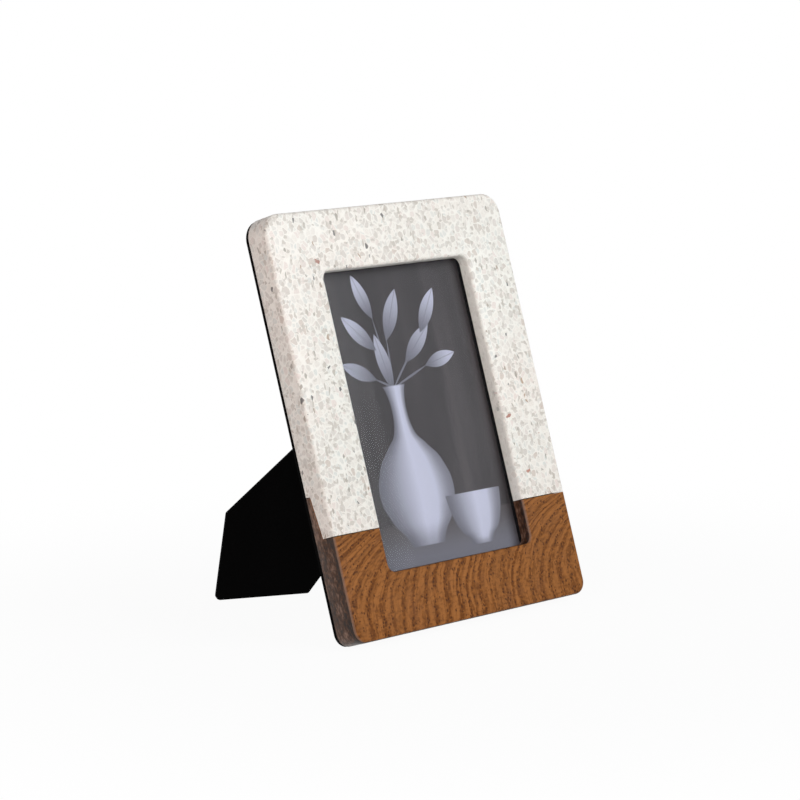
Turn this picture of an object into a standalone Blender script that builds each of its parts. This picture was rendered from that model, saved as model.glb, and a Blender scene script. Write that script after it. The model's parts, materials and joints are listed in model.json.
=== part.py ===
"""Tabletop picture frame.

A cast terrazzo arch is lapped onto a U-shaped wooden base. Glass, print and card lie in a rebate behind
the opening and are held by a loose back panel under four turn buttons. A two-way easel leg, hinged
slantwise on the panel, holds the frame leaning back on a table.

Frame coordinates: x to the right along the face, y from the face to the back, z up the face.
"""
import math

import bmesh
import bpy
from mathutils import Vector

# Driving dimensions, in metres and degrees
FACE_WIDTH = 0.1550
FACE_HEIGHT = 0.200
LEAN = math.radians(18.0)
ORIGIN_BEHIND_FACE = 0.0646
GAP = 0.0003

BODY_DEPTH = 0.0125
BODY_EDGE_ROUND = 0.0013
TOP_CORNER = 0.010
BOTTOM_CORNER = 0.0065

OPENING_WIDTH = 0.0952
OPENING_HEIGHT = 0.1418
OPENING_CORNER = 0.004
LIP_DEPTH = 0.0063

POCKET_WIDTH = 0.1044
POCKET_HEIGHT = 0.1554
POCKET_SLACK = 0.0005
WINDOW_WIDTH = 0.126
WINDOW_HEIGHT = 0.170

# Lap joint at the sides: the shoulder shows on the face, the tongue climbs behind it
SHOULDER_HEIGHT = 0.050
SHOULDER_DEPTH = 0.0074
TONGUE_HEIGHT = 0.070
TONGUE_TIP_DEPTH = 0.0099
TONGUE_ROUND = 0.0012

GLASS_THICKNESS = 0.002
PRINT_WIDTH = 0.1016
PRINT_HEIGHT = 0.1524
PRINT_THICKNESS = 0.0003
CARD_THICKNESS = 0.0028
BACK_THICKNESS = 0.0018
BACK_FRAME_INSET = 0.00025

# Easel leg: hinge place on the back, slant of the hinge line, opening angle and plate
HINGE_X = 0.045
HINGE_Z = 0.134
HINGE_SLANT = math.radians(43.0)
LEG_OPEN = math.radians(38.2)
LEG_THICKNESS = 0.002
LEG_BACK_GAP = 0.0005
LEG_START = 0.0022
LEG_HINGE_HALF = 0.0175
LEG_TIP_X = -0.0023
LEG_LOW_CORNER_X = 0.0333
LEG_HIGH_CORNER_X = -0.0293
LEG_HIGH_CORNER_REACH = 0.137
LEG_TIP_ROUND = 0.0025
LEG_CORNER_ROUND = 0.0015

# Hinge: two leaves curled round one pin
AXIS_OFF_BACK = 0.0020
LEAF_THICKNESS = 0.0006
LEAF_HALF = 0.0165
LEAF_END_HALF = 0.011
LEAF_REACH = 0.011
LEAF_NOTCH = 0.0022
LEAF_SHOULDER = 0.0030
LEAF_CORNER = 0.002
KNUCKLE_RADIUS = 0.0015
KNUCKLE_HALF = 0.006
NECK_INSET = 0.0004
PIN_RADIUS = 0.0006
PIN_HEAD_RADIUS = 0.0012
PIN_HEAD_THICKNESS = 0.0006
STOP_TAB_HALF = 0.004
STOP_TAB_REACH = 0.005

RIVET_X = 0.007
RIVET_REACH = 0.0075
RIVET_RADIUS = 0.0009
RIVET_HEAD_RADIUS = 0.0019
RIVET_HEAD_HEIGHT = 0.0009

# Turn buttons on the back, one in the middle of each side of the window
BUTTON_OFF_WINDOW = 0.0045
BUTTON_REACH = 0.0085
BUTTON_TAIL = 0.0042
BUTTON_WIDTH = 0.0062
BUTTON_TIP_WIDTH = 0.0050
BUTTON_TAIL_ROUND = 0.0028
BUTTON_TIP_ROUND = 0.0022
BUTTON_THICKNESS = 0.0008
SCREW_RADIUS = 0.0012
SCREW_HEAD_RADIUS = 0.0024
SCREW_HEAD_HEIGHT = 0.0012
SCREW_DEPTH = 0.0040
SCREW_SLOT_WIDTH = 0.0006
SCREW_SLOT_DEPTH = 0.0005

# Fineness of the round shapes, and sizes for joining and cutting
ARC_STEPS = 6
EDGE_STEPS = 1
ROUND_STEPS = 20
SMOOTH_BELOW = math.radians(35.0)
WELD = 0.000001
CUT_MARGIN = 0.01

# Depths that follow from the stack behind the lip
GLASS_FRONT = LIP_DEPTH + GAP
PRINT_FRONT = GLASS_FRONT + GLASS_THICKNESS + GAP
CARD_FRONT = PRINT_FRONT + PRINT_THICKNESS + GAP
BACK_FRONT = BODY_DEPTH + GAP
BACK = BACK_FRONT + BACK_THICKNESS
FACE_MIDDLE = FACE_HEIGHT / 2
BORE_RADIUS = PIN_RADIUS + GAP
TABLE = BACK_FRAME_INSET * math.cos(LEAN) - BACK * math.sin(LEAN)

COLOURS = {
    "terrazzo": ((0.80, 0.78, 0.74), 0.45, 0.0),
    "wood": ((0.27, 0.13, 0.055), 0.50, 0.0),
    "glass": ((0.80, 0.86, 0.85), 0.05, 0.0),
    "print": ((0.10, 0.095, 0.10), 0.60, 0.0),
    "card": ((0.42, 0.36, 0.28), 0.85, 0.0),
    "black_board": ((0.012, 0.012, 0.013), 0.90, 0.0),
    "steel": ((0.45, 0.45, 0.46), 0.35, 1.0),
}


def clear_scene():
    """Start from an empty file."""
    for item in list(bpy.data.objects):
        bpy.data.objects.remove(item, do_unlink=True)


def new_collection(name):
    """A collection linked to the scene."""
    made = bpy.data.collections.new(name)
    bpy.context.scene.collection.children.link(made)
    return made


def new_empty(name, collection, parent=None, location=(0, 0, 0), rotation=(0, 0, 0)):
    """A frame of reference that pieces are placed in."""
    made = bpy.data.objects.new(name, None)
    made.empty_display_size = 0.01
    made.parent = parent
    made.location = location
    made.rotation_euler = rotation
    collection.objects.link(made)
    return made


def finish(piece, finish_name):
    """Give a piece its own material in one of the finishes, and shade its round faces smooth."""
    colour, roughness, metallic = COLOURS[finish_name]
    material = bpy.data.materials.new(piece.name)
    material.use_nodes = True
    shader = material.node_tree.nodes["Principled BSDF"]
    shader.inputs["Base Color"].default_value = (*colour, 1.0)
    shader.inputs["Roughness"].default_value = roughness
    shader.inputs["Metallic"].default_value = metallic
    piece.data.materials.append(material)
    piece.data.shade_smooth()
    piece.data.set_sharp_from_angle(angle=SMOOTH_BELOW)
    return piece


def make_cutter(piece):
    """Mark a solid as a tool for cutting or joining."""
    piece.hide_render = True
    piece.display_type = "WIRE"
    return piece


def rounded(corners):
    """Points of an outline given as (x, y, corner radius), in order."""
    points = []
    count = len(corners)
    for index, (x, y, radius) in enumerate(corners):
        here = Vector((x, y))
        if radius == 0:
            points.append(here)
            continue
        before = (Vector(corners[index - 1][:2]) - here).normalized()
        after = (Vector(corners[(index + 1) % count][:2]) - here).normalized()
        half_angle = before.angle(after) / 2
        centre = here + (before + after).normalized() * radius / math.sin(half_angle)
        start = here + before * radius / math.tan(half_angle) - centre
        end = here + after * radius / math.tan(half_angle) - centre
        sweep = start.angle_signed(end)
        for step in range(ARC_STEPS + 1):
            turn = -sweep * step / ARC_STEPS
            across = start.x * math.cos(turn) - start.y * math.sin(turn)
            along = start.x * math.sin(turn) + start.y * math.cos(turn)
            points.append(centre + Vector((across, along)))
    return points


def rectangle(width, height, low_radius, high_radius, middle=0.0):
    """Rounded rectangle centred on x = 0, counter-clockwise."""
    half = width / 2
    low = middle - height / 2
    high = middle + height / 2
    return rounded([(-half, low, low_radius), (half, low, low_radius),
                    (half, high, high_radius), (-half, high, high_radius)])


def plate(name, collection, loops, thickness, parent, location, rotation, edge_round=0.0):
    """A flat outline with thickness, lying in its own x-y plane, made a mesh with welded caps."""
    curve = bpy.data.curves.new(name, "CURVE")
    curve.dimensions = "2D"
    curve.fill_mode = "BOTH"
    curve.extrude = thickness / 2 - edge_round
    curve.bevel_depth = edge_round
    curve.bevel_resolution = EDGE_STEPS
    curve.offset = -edge_round
    for loop in loops:
        spline = curve.splines.new("POLY")
        spline.points.add(len(loop) - 1)
        for point, place in zip(spline.points, loop):
            point.co = (place.x, place.y, 0, 1)
        spline.use_cyclic_u = True
    outline = bpy.data.objects.new(name + "_outline", curve)
    outline.parent = parent
    outline.location = location
    outline.rotation_euler = rotation
    collection.objects.link(outline)
    bpy.context.view_layer.update()
    evaluated = outline.evaluated_get(bpy.context.evaluated_depsgraph_get())
    mesh = bpy.data.meshes.new_from_object(evaluated)
    work = bmesh.new()
    work.from_mesh(mesh)
    bmesh.ops.remove_doubles(work, verts=work.verts, dist=WELD)
    bmesh.ops.recalc_face_normals(work, faces=work.faces)
    work.to_mesh(mesh)
    work.free()
    piece = bpy.data.objects.new(name, mesh)
    collection.objects.link(piece)
    piece.parent = parent
    piece.matrix_world = outline.matrix_world
    bpy.data.objects.remove(outline)
    bpy.data.curves.remove(curve)
    return piece


def face_plate(name, collection, loops, front, thickness, parent, edge_round=0.0):
    """A plate parallel to the face, with its front at a depth behind the face."""
    return plate(name, collection, loops, thickness, parent, (0, front + thickness / 2, 0),
                 (math.radians(90), 0, 0), edge_round)


def cylinder(name, collection, radius, length, parent, location, rotation=(0, 0, 0)):
    """A round bar centred on its place, along its own z."""
    mesh = bpy.data.meshes.new(name)
    work = bmesh.new()
    bmesh.ops.create_cone(work, cap_ends=True, segments=ROUND_STEPS, radius1=radius, radius2=radius,
                          depth=length)
    work.to_mesh(mesh)
    work.free()
    return placed(name, mesh, collection, parent, location, rotation)


def block(name, collection, size, parent, location, rotation=(0, 0, 0)):
    """A box centred on its place."""
    mesh = bpy.data.meshes.new(name)
    work = bmesh.new()
    bmesh.ops.create_cube(work, size=1.0)
    bmesh.ops.scale(work, vec=size, verts=work.verts)
    work.to_mesh(mesh)
    work.free()
    return placed(name, mesh, collection, parent, location, rotation)


def placed(name, mesh, collection, parent, location, rotation):
    """An object for a mesh, at its place under its parent."""
    piece = bpy.data.objects.new(name, mesh)
    piece.parent = parent
    piece.location = location
    piece.rotation_euler = rotation
    collection.objects.link(piece)
    return piece


def turned(name, collection, profile, parent, location, rotation=(0, 0, 0)):
    """A turned piece: a profile of (radius, height) points, top to bottom, swept round its own z."""
    mesh = bpy.data.meshes.new(name)
    edges = [(index, index + 1) for index in range(len(profile) - 1)]
    mesh.from_pydata([(radius, 0, height) for radius, height in profile], edges, [])
    piece = placed(name, mesh, collection, parent, location, rotation)
    sweep = piece.modifiers.new("turn", "SCREW")
    sweep.axis = "Z"
    sweep.steps = ROUND_STEPS
    sweep.render_steps = ROUND_STEPS
    sweep.use_merge_vertices = True
    sweep.merge_threshold = WELD
    return piece


def shape(piece, operation, tool):
    """Cut a piece with a tool, or join the tool to it."""
    step = piece.modifiers.new(tool.name, "BOOLEAN")
    step.operation = operation
    step.solver = "EXACT"
    step.object = tool


def dome(head_radius, head_height, shank_radius, shank_length):
    """Profile of a domed head over a shank; the head's seat is at height 0."""
    points = []
    for step in range(ARC_STEPS + 1):
        turn = math.radians(90) * step / ARC_STEPS
        points.append((head_radius * math.sin(turn), head_height * math.cos(turn)))
    points += [(shank_radius, 0), (shank_radius, -shank_length), (0, -shank_length)]
    return points


def lap_outline(raised, far_height):
    """Side view of the lap joint: shoulder, slanting tongue and rounded tip, closed at a far height."""
    shift = GAP / 2 if raised else -GAP / 2
    front = -CUT_MARGIN
    rear = BODY_DEPTH + CUT_MARGIN
    shoulder = SHOULDER_HEIGHT + shift
    tip = TONGUE_HEIGHT + shift
    return rounded([(front, far_height, 0), (rear, far_height, 0), (rear, tip, 0),
                    (TONGUE_TIP_DEPTH - shift, tip, TONGUE_ROUND),
                    (SHOULDER_DEPTH - shift, shoulder, 0), (front, shoulder, 0)])


def make_body(parts, tools, stand):
    """The face: the terrazzo arch and the wooden base, cut from one flat-backed ring along the lap joint."""
    ring = [rectangle(FACE_WIDTH, FACE_HEIGHT, BOTTOM_CORNER, TOP_CORNER, FACE_MIDDLE),
            rectangle(OPENING_WIDTH, OPENING_HEIGHT, OPENING_CORNER, OPENING_CORNER, FACE_MIDDLE)]
    pocket_depth = BODY_DEPTH - LIP_DEPTH
    pocket = block("pocket", tools, (POCKET_WIDTH, 2 * pocket_depth, POCKET_HEIGHT), stand,
                   (0, BODY_DEPTH, FACE_MIDDLE))
    behind = block("behind_the_ring", tools, (2 * FACE_WIDTH, 2 * CUT_MARGIN, 2 * FACE_HEIGHT), stand,
                   (0, BODY_DEPTH + CUT_MARGIN, FACE_MIDDLE))
    made = {}
    halves = (("terrazzo_front", True, -CUT_MARGIN), ("wood_base", False, FACE_HEIGHT + CUT_MARGIN))
    for name, raised, far_height in halves:
        piece = face_plate(name, parts, ring, 0.0, BODY_DEPTH + BODY_EDGE_ROUND, stand, BODY_EDGE_ROUND)
        side = plate(name + "_lap", tools, [lap_outline(raised, far_height)], FACE_WIDTH + CUT_MARGIN, stand,
                     (0, 0, 0), (math.radians(90), 0, math.radians(90)))
        for tool in (behind, pocket, side):
            shape(piece, "DIFFERENCE", make_cutter(tool))
        made[name] = piece
    return made


def make_stack(parts, stand):
    """Glass, print and card in the pocket; the back board with its window, and the panel that closes it."""
    pane_size = (POCKET_WIDTH - 2 * POCKET_SLACK, POCKET_HEIGHT - 2 * POCKET_SLACK)
    panel_size = (WINDOW_WIDTH - 2 * POCKET_SLACK, WINDOW_HEIGHT - 2 * POCKET_SLACK)
    layers = (("glass_pane", "glass", pane_size, GLASS_FRONT, GLASS_THICKNESS),
              ("photo_print", "print", (PRINT_WIDTH, PRINT_HEIGHT), PRINT_FRONT, PRINT_THICKNESS),
              ("backing_card", "card", pane_size, CARD_FRONT, CARD_THICKNESS),
              ("back_panel", "black_board", panel_size, BACK_FRONT, BACK_THICKNESS))
    made = {}
    for name, finish_name, size, front, thickness in layers:
        loop = rectangle(size[0], size[1], 0, 0, FACE_MIDDLE)
        made[name] = finish(face_plate(name, parts, [loop], front, thickness, stand), finish_name)
    inset = 2 * BACK_FRAME_INSET
    outline = rectangle(FACE_WIDTH - inset, FACE_HEIGHT - inset, BOTTOM_CORNER, TOP_CORNER, FACE_MIDDLE)
    window = rectangle(WINDOW_WIDTH, WINDOW_HEIGHT, 0, 0, FACE_MIDDLE)
    ring = face_plate("back_frame", parts, [outline, window], BACK_FRONT, BACK_THICKNESS, stand)
    made["back_frame"] = finish(ring, "black_board")
    return made


def foot_reach(across):
    """How far down the leg the table lies, at a place across it, when the leg is open."""
    under = AXIS_OFF_BACK - LEG_BACK_GAP
    axis_depth = BACK + AXIS_OFF_BACK
    height = HINGE_Z - across * math.sin(HINGE_SLANT) - under * math.sin(LEG_OPEN) * math.cos(HINGE_SLANT)
    depth = axis_depth - under * math.cos(LEG_OPEN)
    drop = math.cos(LEG_OPEN) * math.cos(HINGE_SLANT) * math.cos(LEAN) + math.sin(LEG_OPEN) * math.sin(LEAN)
    return (height * math.cos(LEAN) - depth * math.sin(LEAN) - TABLE) / drop


def make_leg(parts, pivot):
    """The tapered leg with its pointed foot: one slant of the point rests on the table."""
    outline = rounded([(-LEG_HINGE_HALF, LEG_START, LEG_CORNER_ROUND),
                       (LEG_HINGE_HALF, LEG_START, LEG_CORNER_ROUND),
                       (LEG_LOW_CORNER_X, foot_reach(LEG_LOW_CORNER_X), LEG_CORNER_ROUND),
                       (LEG_TIP_X, foot_reach(LEG_TIP_X), LEG_TIP_ROUND),
                       (LEG_HIGH_CORNER_X, LEG_HIGH_CORNER_REACH, LEG_CORNER_ROUND)])
    middle = LEG_BACK_GAP - AXIS_OFF_BACK + LEG_THICKNESS / 2
    return finish(plate("easel_leg", parts, [outline], LEG_THICKNESS, pivot, (0, 0, middle), (0, 0, 0)),
                  "black_board")


def make_hinge(parts, tools, mount, pivot, panel, leg):
    """Two leaves on one pin, with rivets through the leaves into the panel and the leg."""
    along_pin = (0, math.radians(90), 0)
    bore = make_cutter(cylinder("pin_bore", tools, BORE_RADIUS, 4 * LEAF_HALF, mount, (0, 0, 0), along_pin))
    side_start = KNUCKLE_HALF + GAP
    side_length = LEAF_HALF - side_start

    fixed_level = -AXIS_OFF_BACK + GAP + LEAF_THICKNESS / 2
    outer = LEAF_HALF - NECK_INSET
    inner = side_start + NECK_INSET
    fixed_outline = rounded([(-outer, 0, 0), (-LEAF_END_HALF, -LEAF_REACH, LEAF_CORNER),
                             (LEAF_END_HALF, -LEAF_REACH, LEAF_CORNER), (outer, 0, 0),
                             (inner, NECK_INSET, 0), (inner, -LEAF_NOTCH, 0),
                             (-inner, -LEAF_NOTCH, 0), (-inner, NECK_INSET, 0)])
    fixed = plate("hinge_fixed_leaf", parts, [fixed_outline], LEAF_THICKNESS, mount, (0, 0, fixed_level),
                  (0, 0, 0))
    for number, side in enumerate((-1, 1), start=1):
        place = (side * (side_start + side_length / 2), 0, 0)
        curl = cylinder(f"side_knuckle_{number}", tools, KNUCKLE_RADIUS, side_length, mount, place, along_pin)
        shape(fixed, "UNION", make_cutter(curl))
    shape(fixed, "DIFFERENCE", bore)

    leg_face = LEG_BACK_GAP - AXIS_OFF_BACK + LEG_THICKNESS
    moving_level = leg_face + GAP + LEAF_THICKNESS / 2
    neck = KNUCKLE_HALF - NECK_INSET
    moving_outline = rounded([(-neck, -NECK_INSET, 0), (neck, -NECK_INSET, 0), (neck, LEAF_NOTCH, 0),
                              (LEAF_HALF, LEAF_SHOULDER, 0), (LEAF_END_HALF, LEAF_REACH, LEAF_CORNER),
                              (-LEAF_END_HALF, LEAF_REACH, LEAF_CORNER), (-LEAF_HALF, LEAF_SHOULDER, 0),
                              (-neck, LEAF_NOTCH, 0)])
    moving = plate("hinge_moving_leaf", parts, [moving_outline], LEAF_THICKNESS, pivot, (0, 0, moving_level),
                   (0, 0, 0))
    curl = cylinder("middle_knuckle", tools, KNUCKLE_RADIUS, 2 * KNUCKLE_HALF, pivot, (0, 0, 0), along_pin)
    shape(moving, "UNION", make_cutter(curl))
    tab_level = fixed_level + LEAF_THICKNESS + GAP
    tab = block("stop_tab", tools, (2 * STOP_TAB_HALF, STOP_TAB_REACH, LEAF_THICKNESS), mount,
                (0, NECK_INSET - STOP_TAB_REACH / 2, tab_level))
    shape(moving, "UNION", make_cutter(tab))
    shape(moving, "DIFFERENCE", bore)

    pin_end = LEAF_HALF + GAP
    pin_profile = [(0, pin_end + PIN_HEAD_THICKNESS), (PIN_HEAD_RADIUS, pin_end + PIN_HEAD_THICKNESS),
                   (PIN_HEAD_RADIUS, pin_end), (PIN_RADIUS, pin_end), (PIN_RADIUS, -pin_end),
                   (PIN_HEAD_RADIUS, -pin_end), (PIN_HEAD_RADIUS, -pin_end - PIN_HEAD_THICKNESS),
                   (0, -pin_end - PIN_HEAD_THICKNESS)]
    finish(turned("hinge_pin", parts, pin_profile, mount, (0, 0, 0), along_pin), "steel")

    fixed_seat = fixed_level + LEAF_THICKNESS / 2 + GAP
    moving_seat = moving_level + LEAF_THICKNESS / 2 + GAP
    holders = (("panel", mount, fixed, panel, -RIVET_REACH, fixed_seat, BACK_THICKNESS),
               ("leg", pivot, moving, leg, RIVET_REACH, moving_seat, LEG_THICKNESS))
    for name, holder, leaf, board, reach, seat, board_thickness in holders:
        shank = 2 * GAP + LEAF_THICKNESS + board_thickness - GAP
        profile = dome(RIVET_HEAD_RADIUS, RIVET_HEAD_HEIGHT, RIVET_RADIUS, shank)
        for number, side in enumerate((-1, 1), start=1):
            place = (side * RIVET_X, reach, seat)
            hole = cylinder(f"rivet_hole_{name}_{number}", tools, RIVET_RADIUS + GAP, 4 * shank, holder, place)
            shape(leaf, "DIFFERENCE", make_cutter(hole))
            shape(board, "DIFFERENCE", hole)
            finish(turned(f"rivet_{name}_{number}", parts, profile, holder, place), "steel")
    finish(fixed, "steel")
    finish(moving, "steel")


def make_buttons(parts, tools, stand, body, back_frame):
    """Turn buttons on screws, each reaching over the edge of the panel."""
    side_x = WINDOW_WIDTH / 2 + BUTTON_OFF_WINDOW
    end_z = WINDOW_HEIGHT / 2 + BUTTON_OFF_WINDOW
    spots = (("left", -side_x, FACE_MIDDLE, 90, "terrazzo_front"),
             ("right", side_x, FACE_MIDDLE, -90, "terrazzo_front"),
             ("top", 0, FACE_MIDDLE + end_z, 0, "terrazzo_front"),
             ("bottom", 0, FACE_MIDDLE - end_z, 180, "wood_base"))
    tail = BUTTON_WIDTH / 2
    tip = BUTTON_TIP_WIDTH / 2
    outline = rounded([(-tail, -BUTTON_TAIL, BUTTON_TAIL_ROUND), (tail, -BUTTON_TAIL, BUTTON_TAIL_ROUND),
                       (tip, BUTTON_REACH, BUTTON_TIP_ROUND), (-tip, BUTTON_REACH, BUTTON_TIP_ROUND)])
    seat = 2 * GAP + BUTTON_THICKNESS
    shank = seat + BACK_THICKNESS + GAP + SCREW_DEPTH
    profile = dome(SCREW_HEAD_RADIUS, SCREW_HEAD_HEIGHT, SCREW_RADIUS, shank)
    for name, x, z, turn, holder in spots:
        pivot = new_empty("pivot_" + name, parts, stand, (x, BACK, z), (math.radians(-90), math.radians(turn), 0))
        hole = make_cutter(cylinder("screw_hole_" + name, tools, SCREW_RADIUS + GAP, 2 * (shank + GAP), pivot,
                                    (0, 0, seat)))
        button = plate("turn_button_" + name, parts, [outline], BUTTON_THICKNESS, pivot,
                       (0, 0, GAP + BUTTON_THICKNESS / 2), (0, 0, 0))
        screw = turned("screw_" + name, parts, profile, pivot, (0, 0, seat))
        slot = block("slot_" + name, tools, (3 * SCREW_HEAD_RADIUS, SCREW_SLOT_WIDTH, 2 * SCREW_SLOT_DEPTH), pivot,
                     (0, 0, seat + SCREW_HEAD_HEIGHT))
        shape(screw, "DIFFERENCE", make_cutter(slot))
        for drilled in (button, back_frame, body[holder]):
            shape(drilled, "DIFFERENCE", hole)
        finish(button, "steel")
        finish(screw, "steel")


def main():
    """Build the frame leaning back on its leg, with the table at z = 0."""
    clear_scene()
    parts = new_collection("picture_frame")
    tools = new_collection("cutters")
    stand = new_empty("stand", parts, None, (0, -ORIGIN_BEHIND_FACE, -TABLE), (-LEAN, 0, 0))
    body = make_body(parts, tools, stand)
    stack = make_stack(parts, stand)
    mount = new_empty("hinge_line", parts, stand, (HINGE_X, BACK + AXIS_OFF_BACK, HINGE_Z),
                      (math.radians(-90), HINGE_SLANT, 0))
    pivot = new_empty("leg_pivot", parts, mount, (0, 0, 0), (LEG_OPEN, 0, 0))
    leg = make_leg(parts, pivot)
    make_hinge(parts, tools, mount, pivot, stack["back_panel"], leg)
    make_buttons(parts, tools, stand, body, stack["back_frame"])
    finish(body["terrazzo_front"], "terrazzo")
    finish(body["wood_base"], "wood")


main()
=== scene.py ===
"""Leaning picture frame of terrazzo and wood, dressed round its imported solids.

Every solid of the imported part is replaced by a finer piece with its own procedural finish.
Frame coordinates: x to the right along the face, y from the face to the back, z up the face.
Hinge coordinates: x along the pin, y down the leg, z out of the back board.
"""

import json
import math

import bmesh
import bpy
from bpy.props import FloatProperty, FloatVectorProperty, PointerProperty
from mathutils import Matrix, Vector


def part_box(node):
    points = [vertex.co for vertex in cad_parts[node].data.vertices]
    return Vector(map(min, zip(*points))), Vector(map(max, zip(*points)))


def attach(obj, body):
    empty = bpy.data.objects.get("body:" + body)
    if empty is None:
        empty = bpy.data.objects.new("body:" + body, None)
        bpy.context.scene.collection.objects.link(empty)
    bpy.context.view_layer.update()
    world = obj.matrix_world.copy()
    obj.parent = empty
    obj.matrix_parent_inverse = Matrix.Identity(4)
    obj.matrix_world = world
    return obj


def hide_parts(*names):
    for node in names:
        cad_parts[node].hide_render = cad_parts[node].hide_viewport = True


bl_info = {
    "name": "Terrazzo and wood picture frame",
    "version": (1, 0, 0),
    "blender": (4, 5, 0),
    "location": "3D View > Sidebar > Picture frame",
    "description": "Builds a leaning picture frame of terrazzo and wood and sets it on a studio floor",
    "category": "Object",
}

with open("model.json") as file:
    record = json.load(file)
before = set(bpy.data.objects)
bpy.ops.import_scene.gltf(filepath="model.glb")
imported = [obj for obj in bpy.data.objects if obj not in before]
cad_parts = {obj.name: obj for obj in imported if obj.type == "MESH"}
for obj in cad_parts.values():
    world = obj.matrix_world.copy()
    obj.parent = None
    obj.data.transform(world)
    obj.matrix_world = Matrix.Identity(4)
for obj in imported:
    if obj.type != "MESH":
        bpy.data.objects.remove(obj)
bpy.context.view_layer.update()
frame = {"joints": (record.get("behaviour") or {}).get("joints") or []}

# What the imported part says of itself
JOINTS = {joint["name"]: joint for joint in frame["joints"]}
FACE_LOW, FACE_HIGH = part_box("terrazzo_front")
LEAN = math.asin(-JOINTS["button_top_turn"]["axis"][2])
LEG_OPEN = math.radians(JOINTS["leg_fold"]["range_deg"][1])
HINGE_PLACE = Vector(JOINTS["leg_fold"]["pos_m"])

# Sizes that the pieces share, in metres
GAP = 0.0003
BODY_DEPTH = 0.0125
GLASS_THICKNESS = 0.002
PRINT_THICKNESS = 0.0003
CARD_THICKNESS = 0.0028
BOARD_THICKNESS = 0.0018
BOARD_INSET = 0.00025
POCKET_SIZE = (0.1044, 0.1554)
POCKET_SLACK = 0.0005
PRINT_SIZE = (0.1016, 0.1524)
WINDOW_SIZE = (0.126, 0.170)
SHEET_CORNER = 0.0006
WINDOW_CORNER = 0.0005
PANEL_CORNER = 0.0008
GLASS_EDGE = 0.0003
CARD_EDGE = 0.0002
BOARD_EDGE = 0.00025
BODY_SOFTENING = 0.00015

# Lap joint: the shoulder shows on the face, the tongue climbs behind it
SHOULDER_DEPTH = 0.0074
TONGUE_TIP_DEPTH = 0.0099
TONGUE_ROUND = 0.0012

# Easel leg and its hinge
AXIS_OFF_BOARD = 0.0020
HINGE_X = 0.045
HINGE_Z = 0.134
HINGE_SLANT = math.radians(43.0)
LEG_OFF_BOARD = 0.0005
LEG_THICKNESS = 0.002
LEG_EDGE = 0.0003
LEG_CORNER_ROUND = 0.0015
LEG_TIP_ROUND = 0.0025
LEG_START = 0.0022
LEG_HINGE_HALF = 0.0175
LEG_TIP_X = -0.0023
LEG_LOW_CORNER_X = 0.0333
LEG_HIGH_CORNER = (-0.0293, 0.137)
LEAF_THICKNESS = 0.0006
LEAF_HALF = 0.0165
LEAF_END_HALF = 0.011
LEAF_REACH = 0.011
LEAF_NOTCH = 0.0022
LEAF_SHOULDER = 0.0030
LEAF_CORNER = 0.002
KNUCKLE_RADIUS = 0.0015
KNUCKLE_HALF = 0.006
NECK_INSET = 0.0004
PIN_RADIUS = 0.0006
PIN_HEAD = (0.0012, 0.0006)
PIN_EDGE = 0.0002
STOP_TAB = (0.008, 0.005)

# Rivets, turn buttons and screws
RIVET_X = 0.007
RIVET_REACH = 0.0075
RIVET_RADIUS = 0.0009
RIVET_HEAD = (0.0019, 0.0009)
BUTTON_REACH = 0.0085
BUTTON_TAIL = 0.0042
BUTTON_WIDTH = 0.0062
BUTTON_TIP_WIDTH = 0.0050
BUTTON_THICKNESS = 0.0008
BUTTON_EDGE = 0.0002
BUTTON_TAIL_ROUND = 0.0028
BUTTON_TIP_ROUND = 0.0022
SCREW_RADIUS = 0.0012
SCREW_HEAD = (0.0024, 0.0012)
SCREW_DEPTH = 0.0040
SCREW_SLOT = (0.0006, 0.0005)

# Fineness of the round shapes
ARC_STEPS = 18
EDGE_STEPS = 5
TURN_STEPS = 48
DOME_STEPS = 10
SMOOTH_BELOW = math.radians(32.0)
WELD = 0.000001
CUT_WELD = 0.00002
CUT_MARGIN = 0.01

# Walls of the opening that get painted light where they stand in shade: limits across, up and behind the
# face
WALL_LIGHT_ACROSS = (0.0490, 0.0480)
WALL_LIGHT_UP = (0.185, 0.180)
WALL_LIGHT_DEPTH = (0.0004, 0.0016)

# The printed still life, in frame coordinates. Leaves: middle, half length, half width, turn in degrees.
# Pots: middle, foot, rim, half width at the widest, and the outline as shares of these.
PICTURE_MIDDLE = 0.100
PICTURE_HALF = (0.0476, 0.0711)
TABLE_EDGE = (0.0500, 0.0493)
TABLE_SHADE = (0.026, 0.050)
VASE_MOUTH = (-0.011, 0.1135)
STALK_HALF = 0.0006
STALK_OVERLAP = 0.001
TWIG = (
    ((-0.014, 0.126), 0.0145, 0.0042, 100), ((-0.026, 0.141), 0.0130, 0.0044, 135),
    ((-0.003, 0.148), 0.0140, 0.0046, 62), ((-0.019, 0.158), 0.0120, 0.0040, 110),
    ((0.010, 0.133), 0.0135, 0.0043, 40), ((0.021, 0.148), 0.0130, 0.0042, 55),
    ((-0.031, 0.123), 0.0115, 0.0038, 155), ((0.023, 0.124), 0.0110, 0.0037, 12),
)
VASE = ((0.0, 0.42), (0.06, 0.52), (0.20, 0.86), (0.34, 1.0), (0.48, 0.88), (0.62, 0.52), (0.72, 0.26),
        (0.84, 0.20), (0.94, 0.24), (1.0, 0.32))
BOWL = ((0.0, 0.40), (0.10, 0.42), (0.30, 0.70), (0.60, 0.90), (0.90, 0.99), (1.0, 1.0))
POTS = ((-0.011, 0.0375, 0.1150, 0.0245, VASE), (0.0245, 0.0335, 0.0590, 0.0185, BOWL))

# Camera, lamps and floor
SENSOR_WIDTH = 36.0
NEAREST_VIEW = 0.01
LAMP_SIZE = 1.1
KEY_LAMP_SPOT = (0.62, -1.40, 0.85)
SIDE_LAMP_SPOT = (-1.60, -0.72, 0.55)
FLOOR_HALF = 6.0
FLOOR_FADE = (0.12, 0.40)
FLOOR_WHITE_NEAR = 0.95

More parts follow.
